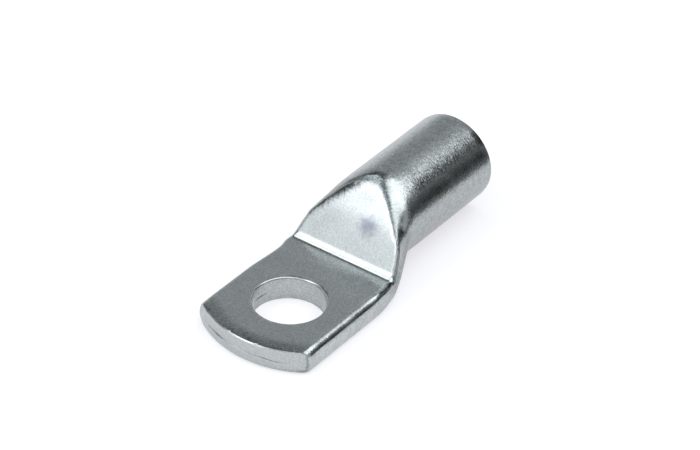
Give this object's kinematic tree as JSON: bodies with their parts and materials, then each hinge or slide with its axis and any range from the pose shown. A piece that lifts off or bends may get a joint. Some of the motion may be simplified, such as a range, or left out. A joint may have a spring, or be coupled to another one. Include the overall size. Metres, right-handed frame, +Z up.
{
  "type": "tubular cable lug",
  "caption": "Tubular cable lug pressed from tinned copper tube: a round barrel that a cable is crimped into, and a flat palm with a stud hole.",
  "frame": {"origin": "centre of the stud hole on the palm's underside", "axes": "+X along the barrel towards the mouth where the cable goes in, +Z up out of the palm's top"},
  "size_m": [0.0506, 0.0192, 0.0138],
  "materials": {
    "tin_plate": "electro-tinned copper: silver-grey, satin with a soft gleam, tumbled, finely scratched"
  },
  "bodies": {
    "root": {"cable_lug": "tin_plate"}
  },
  "joints": []
}
